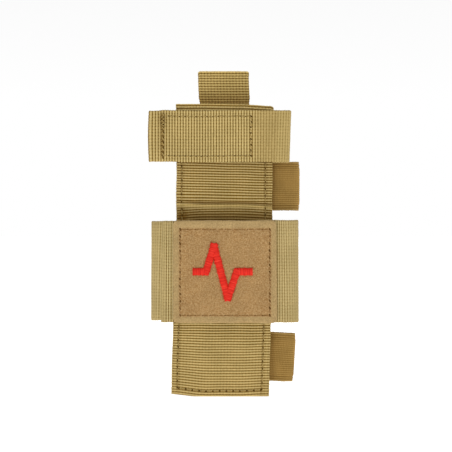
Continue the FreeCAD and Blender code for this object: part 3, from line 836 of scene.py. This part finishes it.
# The emblem: its place, half the breadth of its strokes and the corners of its trace.
EMBLEM_X = -1.2
EMBLEM_HALF = 1.85
EMBLEM_TRACE = [(-15.2, 0.0), (-8.4, 0.0), (-4.4, 13.0), (2.6, -13.4), (7.2, 0.0), (15.2, 0.0)]


def trace_distance(x, z):
    """Distance from points on the label to the middle line of the emblem."""
    nearest = np.full(x.shape, 99.0)
    for (x0, z0), (x1, z1) in zip(EMBLEM_TRACE, EMBLEM_TRACE[1:]):
        dx, dz = x1 - x0, z1 - z0
        t = np.clip(((x - EMBLEM_X - x0) * dx + (z - z0) * dz) / (dx * dx + dz * dz), 0, 1)
        nearest = np.minimum(nearest, np.hypot(x - EMBLEM_X - x0 - t * dx, z - z0 - t * dz))
    return nearest


def square_distance(x, z):
    """Distance from points on the label to the square seam, above nought inside it."""
    past_x, past_z = np.abs(x) - SQUARE_X, np.abs(z + SQUARE_DROP) - SQUARE_Z
    inside = np.minimum(-past_x, -past_z)
    return np.where(inside > 0, inside, -np.hypot(np.clip(past_x, 0, None), np.clip(past_z, 0, None)))


def label_grid():
    """Grid over the label: u and v from -1 to 1, and x and z with cut edges and clipped corners."""
    shares = [np.linspace(-1, 1, int(size / LABEL_STEP) + 1) for size in (LABEL_WIDTH, LABEL_HEIGHT)]
    u, v = np.meshgrid(*shares, indexing="ij")
    x, z = u * LABEL_WIDTH / 2, v * LABEL_HEIGHT / 2
    ragged = 0.16 * waves(z, x * 0, 9.0, 31) + 0.05 * RNG.standard_normal(x.shape)
    x = x + np.sign(u) * smooth((np.abs(u) - 0.9) / 0.1) * ragged
    ragged = 0.16 * waves(x, z * 0, 9.0, 32) + 0.05 * RNG.standard_normal(x.shape)
    z = z + np.sign(v) * smooth((np.abs(v) - 0.9) / 0.1) * ragged
    corner = 0.55 * smooth((np.abs(x) - LABEL_WIDTH / 2 + 2.2) / 2.2)
    corner = corner * smooth((np.abs(z) - LABEL_HEIGHT / 2 + 2.2) / 2.2)
    x, z = x - np.sign(u) * corner, z - np.sign(v) * corner
    return u, v, x + np.where(u < 0, -0.2 * u, -0.05 * u - 0.6 * u * (v + 1) / 2), z


def make_label():
    """Felt patch: crowned slab with a soft rim, grooves under the stitching and a fuzzy face."""
    back, front = label_high[1], label_low[1]
    u, v, x, z = label_grid()
    square = square_distance(x, z)
    groove = 0.26 * bell(square, 0, 0.8) + 0.3 * bell(trace_distance(x, z), EMBLEM_HALF + 0.25, 0.35)
    rim = np.minimum(LABEL_WIDTH / 2 - np.abs(x), LABEL_HEIGHT / 2 - np.abs(z))
    round_off = 0.5 * (1 - np.sqrt(np.clip(1 - (1 - np.clip(rim / 0.9, 0, 1)) ** 2, 0, 1)))
    fuzz = 0.06 * waves(x, z, 3.2, 33) + 0.05 * waves(x, z, 1.3, 34) + 0.045 * RNG.standard_normal(x.shape)
    crown = 0.25 * (1 - u ** 2) * (1 - v ** 2)
    outer = np.stack([x + LABEL_X, front + groove + round_off - fuzz - crown, z + LABEL_MIDDLE], -1)
    inner = outer.copy()
    inner[..., 1] = back + 0.08 * round_off
    pale = np.clip(smooth((-square - 0.2) / 1.0) * 0.9 + 0.35 * smooth((1.4 - rim) / 1.4), 0, 1)
    verts = np.vstack([outer.reshape(-1, 3), inner.reshape(-1, 3)])
    piece = make_object("label_felt_patch", verts, slab_faces(*x.shape), FELT,
                        {"rim": np.r_[pale.ravel(), np.ones(x.size)]})
    finish(piece, ["label_patch"], "sleeve_panel")
    seam = Sewing("label_square_seam", 0.2, LABEL_THREAD, LABEL_HOLE)
    y = front + 0.16
    left, right = LABEL_X - SQUARE_X, LABEL_X + SQUARE_X
    low, high = (LABEL_MIDDLE - SQUARE_DROP + half for half in (-SQUARE_Z, SQUARE_Z))
    for level in (low, high):
        seam.row((left, y, level), (right, y, level), FRONT, pitch=3.7, gap=1.0, slant=0.15,
                 hole=(0.6, 0.24, 0.05), rise=0.08)
    for upright in (left, right):
        seam.row((upright, y, low), (upright, y, high), FRONT, pitch=3.7, gap=1.6, slant=0.3,
                 hole=(0.85, 0.4, 0.06), rise=0.02)
    seam.make("label_stitching", "sleeve_panel")


def emblem_stroke(start, end, lift):
    """Rows of points over one stroke of the emblem and under it, three to each thread."""
    face = label_low[1] - 0.15
    run = (end - start) / np.linalg.norm(end - start)
    normal = np.array([-run[1], run[0]])
    across = np.linspace(-1, 1, 9)
    length = np.linalg.norm(end - start)
    steps = int(length / SATIN_PITCH) * 3
    rows = []
    for k in range(steps + 1):
        swell = abs(math.sin(math.pi * k / 3))
        jitter = 0.0 if k % 3 == 0 else 0.16 * RNG.standard_normal()
        height = 1.15 * np.sqrt(np.clip(1 - across ** 2 * 0.96, 0, 1)) - 0.35 + 0.2 * swell
        reach = (EMBLEM_HALF - 0.1 + 0.22 * swell + jitter) * across
        flat = start + run * (k / steps * length) + normal * reach[:, None]
        rows.append(np.column_stack([flat[:, 0] + LABEL_X + EMBLEM_X, face - height - lift,
                                     flat[:, 1] + LABEL_MIDDLE]))
    top = np.array(rows)
    bottom = top[:, ::-1].copy()
    bottom[..., 1] = face + 0.25
    return np.concatenate([top, bottom], axis=1)


def make_emblem():
    """Pulse trace in satin stitch: columns of threads laid across each stroke."""
    corners = np.array(EMBLEM_TRACE)
    last = len(corners) - 2
    verts, faces, lay = [], [], []
    for number, (start, end) in enumerate(zip(corners, corners[1:])):
        overlap = 1.3 * (end - start) / np.linalg.norm(end - start)
        stroke = emblem_stroke(start - overlap * (number > 0), end + overlap * (number < last),
                               0.10 * (number % 2))
        count, ring = stroke.shape[:2]
        values = np.zeros((count, ring, 3))
        values[..., 0] = np.linspace(-1, 1, ring)
        values[..., 1] = np.arange(count)[:, None] * SATIN_PITCH / 3
        values[..., 2] = number * 7.0
        faces += shifted(flipped(ring_faces(count, ring)), sum(map(len, verts)))
        verts.append(stroke.reshape(-1, 3))
        lay.append(values.reshape(-1, 3))
    piece = make_object("label_pulse_emblem", np.vstack(verts), faces, RED, {"lay": np.vstack(lay)})
    finish(piece, ["label_emblem"], "sleeve_panel")


# ---------------------------------------------------------------- retention strap

GRIP_SEAM_X = -31.2
BOX_RIGHT_X = 13.4
HALF_STRAP = STRAP / 2


def strap_warp(points):
    """Small waves of a handled strap, its leaning ends and the channel of the grip's seam."""
    points, x, y, z = opened(points)
    height = z - FLAP_MIDDLE
    points[..., 2] += 0.28 * waves(x, z * 0.15, 30.0, 41) + 0.035 * height - 0.15
    points[..., 2] -= 0.5 * smooth((-x - 30) / 5) * smooth(height / 12)
    points[..., 0] += 0.45 * height / HALF_STRAP * smooth((x - 15) / 15)
    points[..., 0] -= 0.45 * np.cos(height / HALF_STRAP * 1.4) * smooth((-x - 34) / 4) - 0.2
    points[..., 1] += 0.12 * waves(x, z, 26.0, 42)
    points[..., 1] += 0.55 * bell(x, GRIP_SEAM_X, 0.65) * smooth((FLAP_Y - 0.1 - points[..., 1]) / 0.3)
    return points


def strap_painted_shade(points):
    """Painted shade in the channel of the row across the grip; also darker round the bartack, a little
    darker all over and more so towards the right end.
    """
    x, y, height = points[..., 0], points[..., 1], points[..., 2] - FLAP_MIDDLE
    # painted shade in the sunken channel of the grip's row
    channel = 0.4 * bell(x, GRIP_SEAM_X, 0.95) * smooth((11 - height) / 1.5) * smooth((height + 11) / 1.5)
    tack = 0.5 * bell(x, GRIP_SEAM_X, 1.1) * bell(height, 9.2, 1.8)
    pressed = 0.05 + 0.1 * smooth((x - 13) / 8)
    return (channel + tack + pressed) * smooth((-16.9 - y) / 0.4)


def strap_calm(x, y, across):
    """Where the flap's ribs lie flat: pressed over its right end."""
    return 0.62 * smooth((x - 13) / 8) * smooth((-9 - y) / 4)


def make_retention():
    """Retention strap: under strap and band, then the flap with the right curve and the grip."""
    under_y = node_box("retention_loop_patch")[1][1] + 0.05 + WEB / 2
    left, right = band_low[0] + WEB / 2, band_high[0] - WEB / 2
    split = carrier_high[0] - 1.1
    under = rounded([(12.0, under_y, 0), (left, under_y, 4.0), (left, BAND_Y, 4.0),
                     (split - 0.1, BAND_Y, 0)], 0.6)
    piece = webbing("retention_under_strap", under, "XY", STRAP, FLAP_MIDDLE, KHAKI, seed=51)
    finish(piece, ["retention_band"], "carrier")
    grip = flap_low[0] + WEB / 2
    fold = 0.75
    flap = rounded([(split, BAND_Y, 0), (right, BAND_Y, 3.2), (right, FLAP_Y + 2.6, 4.5),
                    (24.0, FLAP_Y, 12.0), (grip, FLAP_Y, fold), (grip, FLAP_Y + 1.5, fold),
                    (flap_low[0] + 8.0, FLAP_Y + 1.5, 0)], 0.45)
    piece = webbing("retention_flap_strap", flap, "XY", STRAP, FLAP_MIDDLE, KHAKI, warp=strap_warp,
                    seed=52, column=FINE_COLUMN, painted_light=strap_painted_shade, calm=strap_calm)
    finish(piece, ["retention_flap"])
    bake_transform(piece)


def make_flap_seams():
    """Box seam, the row across the grip and the zigzag bartack at its top."""
    y = flap_low[1] - 0.02
    left, right = GRIP_SEAM_X, BOX_RIGHT_X
    low, high = FLAP_MIDDLE - 9.8, FLAP_MIDDLE + 9.7
    seam = Sewing("flap_box_thread", 0.22)
    corners = [(left, y, low), (right, y, low), (right, y, high), (left, y, high)]
    for start, end in zip(corners, corners[1:]):
        upright = start[0] == end[0]
        seam.row(start, end, FRONT, pitch=2.8, warp=strap_warp, slant=0.3 * upright, rise=0.06,
                 hole=(0.7, 0.42, 0.07) if upright else (0.45, 0.3, 0.05))
    seam.make("flap_box_stitching", "retention_flap_body")
    seam = Sewing("flap_grip_thread", 0.4, holes=GRIP_HOLE)
    seam.row((left, y, FLAP_MIDDLE - 10.3), (left, y, FLAP_MIDDLE + 5.0), FRONT, pitch=2.6, gap=0.5,
             slant=0.75, warp=strap_warp, hole=(1.0, 0.75, 0.12), lift=0.05)
    seam.make("flap_grip_stitching", "retention_flap_body")
    seam = Sewing("flap_bartack_thread", 0.27)
    for i in range(7):
        base = FLAP_MIDDLE + 4.6 + i * TACK_PITCH
        swing = 1.0 if i % 2 else -1.0
        ends = [[left - swing, y, base], [left + swing, y, base + TACK_PITCH]]
        first, second = strap_warp(np.array(ends))
        seam.thread(first, second, FRONT, rise=0.25)
        seam.hole(first, FRONT, np.array([1.0, 0, 0.2]), (0.7, 0.42, 0.09))
    seam.make("flap_bartack", "retention_flap_body")


# ---------------------------------------------------------------- pull loop

def loop_warp(points):
    """The loop's top corners are a little round and it bows slightly."""
    points, x, y, z = opened(points)
    points[..., 2] -= 0.5 * smooth((np.abs(x) - 11.2) / 1.6) ** 2 * smooth((z - 86) / 4)
    points[..., 0] += 0.025 * x * smooth((z - 75) / 3) - 0.4 + 0.6 * smooth((88 - z) / 16)
    points[..., 2] += 0.45 * smooth((z - 76) / 12)
    points[..., 1] += 0.25 * waves(x, z, 24.0, 61)
    return points


def loop_painted_light(points):
    """Painted shade on the loop's front, deepening down behind the panel's lip, and a painted highlight on
    the top edge.
    """
    y, z = points[..., 1], points[..., 2]
    # painted shade on the front, deepening towards the lip; painted highlight on the top edge
    return (0.08 + 0.5 * smooth((85 - z) / 12)) * (y < -2.45) - 0.6 * smooth((z - 90.2) / 0.6)


def make_pull_loop():
    """Pull loop of 1 inch webbing folded double, its legs sewn on the panel's back."""
    bottom = anchor_low[2]
    line = folded_line(anchor_low[1] + WEB / 2, anchor_high[1] - WEB / 2, bottom, loop_high[2] - WEB / 2)
    piece = webbing("pull_loop_strap", line, "YZ", STRAP, 0.0, KHAKI_LOOP, warp=loop_warp, seed=62,
                    pitch=1.28, column=FINE_COLUMN, painted_light=loop_painted_light)
    finish(piece, ["pull_loop", "pull_loop_anchor"])
    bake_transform(piece)
    seam = Sewing("pull_loop_box_thread")
    box_seam(seam, -9.5, 9.5, bottom + 2.5, bottom + 21.5, anchor_high[1] + 0.02, BACK, pitch=3.2,
             warp=loop_warp)
    seam.make("pull_loop_stitching", "carrier")


# ---------------------------------------------------------------- mounting straps

def make_mounting_strap(name, tilt):
    """Mounting strap of hook-and-loop backing tape: root with the right fold, then the flap."""
    root_low, root_high = node_box(f"{name}_root")
    middle = (root_low[2] + root_high[2]) / 2
    bend = root_high[1] - WEB / 2
    turn_x = root_high[0] - WEB / 2
    left = root_low[0]

    def warp(points):
        """Tilt and small waves, with the trimmed corner of a tilted tab."""
        points, x, y, z = opened(points)
        out = smooth((x - 8) / 16)
        eased = 0.2 * smooth((np.abs(z - middle) - 8) / 5) * smooth((x - 30) / 4)
        trimmed = 0.35 * smooth((x - 31) / 5) * smooth((middle - z - 9) / 4) * (tilt > 0.05)
        points[..., 2] += 0.2 * waves(x, z * 0.2, 28.0, 71 + int(abs(tilt) * 100))
        points[..., 2] -= tilt * np.clip(x - 18, 0, None) + 0.15
        points[..., 0] += out * (tilt * (z - middle) + 0.5 - eased)
        points[..., 2] += out * trimmed
        return points

    def painted_light(points):
        """Painted shadow beside the panel's edge, painted shade towards the right end and a painted
        highlight on the fold.
        """
        x = points[..., 0]
        fold = smooth((x - root_high[0] + 0.5) / 0.5)
        # painted shadow of the panel's edge, painted shade towards the right end, painted highlight on the
        # fold
        return 0.2 * bell(x, 24.8, 0.7) + 0.05 * smooth((x - 33) / 4) - 0.3 * fold

    line = rounded([(left, -bend, 0), (turn_x, -bend, bend), (turn_x, bend, bend), (-6.0, bend, 6),
                    (-12.0, 0.1, 6), (left, 0.1, 0)], 0.5, 0.4)
    total = lengths_along(line)[-1]
    cut = (turn_x - left - bend + bend * math.pi * 0.62) / total
    cut = round(cut * (len(line) - 1)) / (len(line) - 1)
    grooves = [side * at for side in (-1, 1) for at in TAPE_GROOVES[::side]]
    options = dict(painted_light=painted_light, outer_left=False, warp=warp, rib=0.10, grooves=grooves, dots=False, seed=72,
                   column=0.53, pitch=0.8, waft=TAPE_LINES)
    root = webbing(f"{name}_root_tape", line, "XY", TAPE, middle, KHAKI_TAPE, part=(0, cut), **options)
    finish(root, [f"{name}_root"], "carrier")
    flap = webbing(f"{name}_flap_tape", line, "XY", TAPE, middle, KHAKI_TAPE, part=(cut, 1), **options)
    finish(flap, [f"{name}_flap"])
    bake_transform(flap)
    for part, start, end, y, body in (("root", 2, 21, -bend, "carrier"),
                                      ("flap", left + 1.8, left + 9.6, 0.1, f"{name}_flap_body")):
        seam = Sewing(f"{name}_{part}_thread", 0.24)
        box_seam(seam, start, end, middle - 9.5, middle + 9.5, y + WEB / 2 + 0.02, BACK, pitch=3.2,
                 warp=warp)
        seam.make(f"{name}_{part}_stitching", body)
    pile_patch(f"{name}_loop_tape", "carrier", BACK, warp)
    hook_patch(f"{name}_hook_tape", f"{name}_flap_body", FRONT, warp)


# ---------------------------------------------------------------- hook and loop

def patch_base(node, out):
    """A patch's box, which way its face looks along Y, and where its back lies."""
    low, high = node_box(node)
    return low, high, out[1], (high if out[1] < 0 else low)[1]


def slab_piece(node, suffix, outer, base, material, body, out, warp, hooks=None):
    """Patch from the grid of its face and the level of its back."""
    inner = outer.copy()
    inner[..., 1] = base
    verts = np.vstack([outer.reshape(-1, 3), inner.reshape(-1, 3)])
    faces = slab_faces(*outer.shape[:2])
    if out[1] > 0:
        faces = flipped(faces)
    if hooks:
        faces += shifted(hooks[1], len(verts))
        verts = np.vstack([verts, hooks[0]])
    if warp:
        verts = warp(verts)
    piece = finish(make_object(node + suffix, verts, faces, material), [node], body)


def pile_patch(node, body, out, warp=None):
    """Loop tape: thin slab with a napped, uneven pile."""
    low, high, sign, base = patch_base(node, out)
    spans = [(low[i], high[i], int((high[i] - low[i]) / PILE_STEP) + 1) for i in (0, 2)]
    x, z = np.meshgrid(*(np.linspace(*span) for span in spans), indexing="ij")
    rim = np.minimum(np.minimum(x - low[0], high[0] - x), np.minimum(z - low[2], high[2] - z))
    nap = 0.62 * smooth((rim - 0.6) / 0.8) * (1 + 0.25 * waves(x, z, 1.7, 81))
    nap = nap + 0.05 * RNG.standard_normal(x.shape)
    outer = np.stack([x, base + sign * (0.18 + np.clip(nap * 0.75, 0, 0.6)), z], -1)
    slab_piece(node, "_pile", outer, base, PILE, body, out, warp)


def hook_patch(node, body, out, warp=None):
    """Hook tape: woven base with rows of small bent hooks."""
    low, high, sign, base = patch_base(node, out)
    top = base + sign * 0.22
    x, z = np.meshgrid(np.linspace(low[0], high[0], 12), np.linspace(low[2], high[2], 12), indexing="ij")
    outer = np.stack([x, np.full_like(x, top), z], -1)
    columns, rows = int((high[0] - low[0] - 1.6) / HOOK_PITCH), int((high[2] - low[2] - 2.4) / HOOK_PITCH)
    start_x = (low[0] + high[0] - columns * HOOK_PITCH) / 2
    start_z = (low[2] + high[2] - rows * HOOK_PITCH) / 2
    verts, faces = [], []
    for i in range(columns + 1):
        for j in range(rows + 1):
            at = (start_x + i * HOOK_PITCH + 0.12 * RNG.standard_normal(), top, start_z + j * HOOK_PITCH)
            bend = 0.16 if (i + j) % 2 else -0.16
            path = np.array([(0, -0.05 * sign, 0), (0, 0.2 * sign, 0), (bend, 0.42 * sign, 0),
                             (2.2 * bend, 0.40 * sign, 0), (2.8 * bend, 0.2 * sign, 0)])
            hook_verts, hook_faces, _ = tube(path + at, 0.11, 4)
            faces += shifted(hook_faces, len(verts) * len(hook_verts))
            verts.append(hook_verts)
    slab_piece(node, "_hooks", outer, base, HOOKS, body, out, warp, (np.vstack(verts), faces))


make_carrier()
make_carrier_seams()
make_sleeve()
make_label()
make_emblem()
make_retention()
make_flap_seams()
make_pull_loop()
make_mounting_strap("upper_mount", 0.004)
make_mounting_strap("lower_mount", 0.06)
pile_patch("retention_loop_patch", "carrier", FRONT)
hook_patch("retention_hook_patch", "retention_flap_body", BACK)


# ---------------------------------------------------------------- stage

FLOOR_HALF = 40000.0
FLOOR_GLOW = 0.72
# Height of the sky's direction at which its light starts and ends, and the light at each.
SKY_RAMP = (0.05, 0.6, 1.0, 0.52)


def floor_material():
    """Smooth pale floor with the faintest mottling, glowing a little."""
    n = Nodes("floor_pale")
    speck = n.noise(n.place(), 4.0, 2.0, 0.5)
    tone = n.mix(n.remap(speck, 0.3, 0.7), (0.93, 0.93, 0.93, 1), (0.97, 0.97, 0.97, 1))
    n.set(n.shader, {"Emission Color": (1, 1, 1, 1), "Emission Strength": FLOOR_GLOW})
    return n.finish(tone, 0.9)


def make_stage():
    """Pale floor, a sky that is brighter near the horizon and two soft lights."""
    z = carrier_low[2] - 0.3
    corners = [(-FLOOR_HALF, -FLOOR_HALF, z), (FLOOR_HALF, -FLOOR_HALF, z),
               (FLOOR_HALF, FLOOR_HALF, z), (-FLOOR_HALF, FLOOR_HALF, z)]
    make_object("floor", corners, [(0, 1, 2, 3)], floor_material())
    world = bpy.data.worlds.new("studio")
    bpy.context.scene.world = world
    world.use_nodes = True
    tree = world.node_tree
    background = tree.nodes["Background"]
    coord = tree.nodes.new("ShaderNodeTexCoord")
    split = tree.nodes.new("ShaderNodeSeparateXYZ")
    ramp = tree.nodes.new("ShaderNodeMapRange")
    for socket, number in zip(ramp.inputs[1:5], SKY_RAMP):
        socket.default_value = number
    tree.links.new(coord.outputs["Generated"], split.inputs[0])
    tree.links.new(split.outputs[2], ramp.inputs[0])
    tree.links.new(ramp.outputs[0], background.inputs["Strength"])
    background.inputs["Color"].default_value = (1, 1, 1, 1)
    soft_light("key", (-0.25, -1.2, 0.05), 0.5, 0.6)
    soft_light("rear", (0.3, 1.2, 0.7), 0.9, 1.5)


def soft_light(name, place, size, power):
    """Square soft light aimed at the middle of the object."""
    data = bpy.data.lights.new(name, "AREA")
    data.size = size
    data.energy = power
    light = bpy.data.objects.new(name, data)
    bpy.context.scene.collection.objects.link(light)
    light.location = place
    light.rotation_euler = (-Vector(place)).to_track_quat("-Z", "Y").to_euler()


def make_camera():
    """Long lens looking along +Y, level with a point a little above the origin."""
    data = bpy.data.cameras.new("camera")
    data.lens = 200.0
    data.sensor_width = 36.0
    data.clip_end = 20.0
    camera = bpy.data.objects.new("camera", data)
    bpy.context.scene.collection.objects.link(camera)
    view_width = 0.2296
    subject_y = -0.0115
    distance = view_width / 2 / math.tan(math.atan(data.sensor_width / 2 / data.lens))
    camera.location = (0.0009, subject_y - distance, 0.0122)
    camera.rotation_euler = (math.pi / 2, 0, 0)
    bpy.context.scene.camera = camera
    bpy.context.scene.view_settings.view_transform = "Standard"


make_stage()
make_camera()
